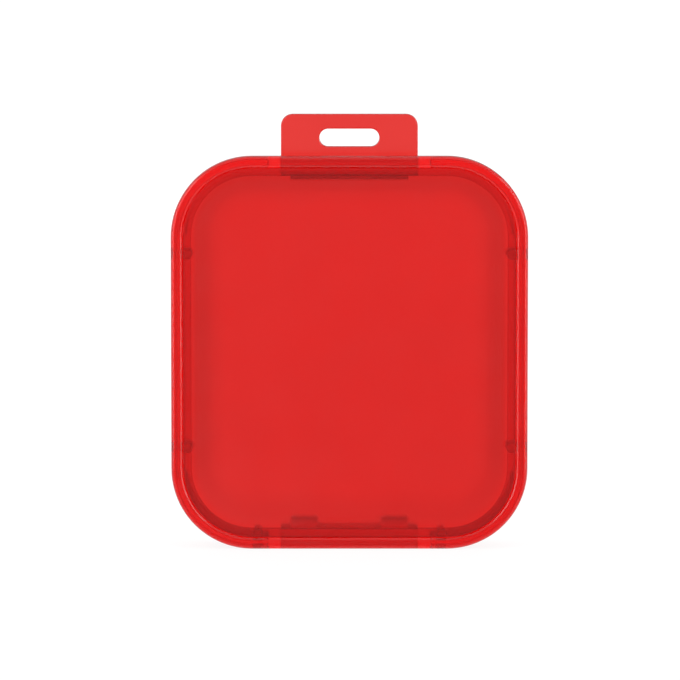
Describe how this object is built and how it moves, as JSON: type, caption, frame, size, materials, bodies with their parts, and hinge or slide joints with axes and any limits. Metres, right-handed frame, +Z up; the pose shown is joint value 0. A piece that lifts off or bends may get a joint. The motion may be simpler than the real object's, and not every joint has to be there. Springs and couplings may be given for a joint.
{
  "type": "clip-on red filter cap",
  "caption": "Round-cornered clip-on colour filter: a thin red pane in a border, a skirt behind it, a sprung latch with a slotted pull tab above and a hooked latch below.",
  "frame": {"origin": "on the pane's centre line, in the plane where the lamp's front meets the frame inside the skirt", "axes": "+Z up towards the pull tab, -Y out of the front of the pane, +X to the right seen from the front"},
  "size_m": [0.045, 0.0085, 0.0547],
  "materials": {
    "filter_plastic": "thin translucent red acrylic, faint satin",
    "frame_plastic": "translucent red acrylic, moulded gloss",
    "latch_plastic": "translucent red acrylic, moulded gloss"
  },
  "bodies": {
    "cap_body": {"filter_pane": "filter_plastic", "bezel_frame": "frame_plastic", "skirt_left": "frame_plastic", "skirt_right": "frame_plastic", "grip_nib_upper_left": "frame_plastic", "grip_nib_upper_right": "frame_plastic", "grip_nib_lower_left": "frame_plastic", "grip_nib_lower_right": "frame_plastic", "corner_nib_left": "frame_plastic", "corner_nib_right": "frame_plastic"},
    "upper_latch": {"top_latch": "latch_plastic", "top_catch": "latch_plastic", "pull_tab": "latch_plastic"},
    "lower_latch": {"bottom_latch": "latch_plastic", "latch_ridge": "latch_plastic", "hook_lug_left": "latch_plastic", "hook_lug_right": "latch_plastic"}
  },
  "joints": [
    {"name": "top_latch_flex", "type": "hinge", "parent": "cap_body", "child": "upper_latch", "pos_m": [0, 0.00005, 0.02435], "axis": [1, 0, 0], "range_deg": [0, 8], "stiffness_Nm_per_rad": 0.4},
    {"name": "bottom_latch_flex", "type": "hinge", "parent": "cap_body", "child": "lower_latch", "pos_m": [0, 0.00005, -0.02485], "axis": [-1, 0, 0], "range_deg": [0, 5], "stiffness_Nm_per_rad": 0.6}
  ]
}
